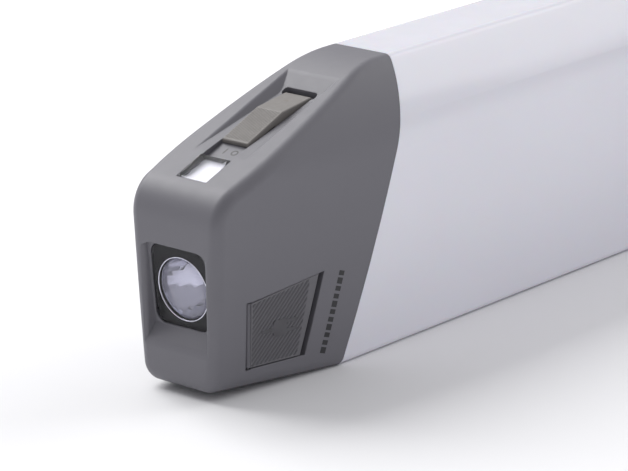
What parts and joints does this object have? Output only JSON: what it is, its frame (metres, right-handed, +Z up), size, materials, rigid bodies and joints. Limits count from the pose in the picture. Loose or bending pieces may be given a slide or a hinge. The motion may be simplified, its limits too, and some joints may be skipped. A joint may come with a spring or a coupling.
{
  "type": "led light tube",
  "caption": "Hand-held opal light tube with a grey head that holds a front torch, a slide switch on its slope and a hinged port flap.",
  "frame": {"origin": "middle of the underside, half way along the tube", "axes": "+Z up, Y along the tube with the torch facing -Y, port flap on the +X side"},
  "size_m": [0.03, 0.3, 0.058],
  "materials": {
    "head_grey": "soft touch",
    "tube_opal": "glossy opal",
    "clear_window": "polished",
    "knob_beige": "satin",
    "black_plastic": "matte",
    "frame_plastic": "matte",
    "mirror_cup": "mirror",
    "led_phosphor": "glossy",
    "circuit_board": "satin",
    "strip_board": "satin",
    "steel": "satin",
    "carrier_metal": "satin",
    "cell_wrap": "glossy",
    "wire_red": "satin",
    "wire_black": "satin",
    "seal": "matte"
  },
  "bodies": {
    "case": {"head_shell": "head_grey", "tail_cap": "head_grey", "switch_guide": "head_grey", "diffuser_tube": "tube_opal", "torch_window": "clear_window", "torch_lens": "clear_window", "indicator_window": "clear_window", "torch_bezel": "black_plastic", "driver_inductor": "black_plastic", "driver_chips": "black_plastic", "battery_tray": "black_plastic", "battery_cover": "black_plastic", "head_frame": "frame_plastic", "tail_frame": "frame_plastic", "torch_reflector": "mirror_cup", "torch_led": "led_phosphor", "indicator_led": "led_phosphor", "strip_leds_left": "led_phosphor", "strip_leds_right": "led_phosphor", "torch_led_board": "circuit_board", "switch_board": "circuit_board", "port_board": "circuit_board", "driver_board": "circuit_board", "led_strip_left": "strip_board", "led_strip_right": "strip_board", "flap_hinge_pin": "steel", "usb_a_port": "steel", "micro_usb_port": "steel", "slide_switch": "steel", "board_screws": "steel", "head_screws": "steel", "tail_screws": "steel", "carrier_screws": "steel", "battery_tabs": "steel", "led_carrier": "carrier_metal", "driver_capacitors": "carrier_metal", "battery_cell_front": "cell_wrap", "battery_cell_rear": "cell_wrap", "battery_lead_plus": "wire_red", "led_lead_right": "wire_red", "battery_lead_minus": "wire_black", "led_lead_left": "wire_black", "head_gasket": "seal", "tail_gasket": "seal", "port_seal": "seal"},
    "slide_knob": {"switch_knob": "knob_beige", "switch_lever": "black_plastic"},
    "flap": {"port_flap": "head_grey"}
  },
  "joints": [
    {"name": "switch_slide", "type": "slide", "parent": "case", "child": "slide_knob", "axis": [0, -0.9363, -0.3511], "range_m": [0, 0.004]},
    {"name": "flap_hinge", "type": "hinge", "parent": "case", "child": "flap", "pos_m": [0.01027, -0.1407, 0.01203], "axis": [-0.0404, 0.0047, -0.9992], "range_deg": [0, 95]}
  ]
}
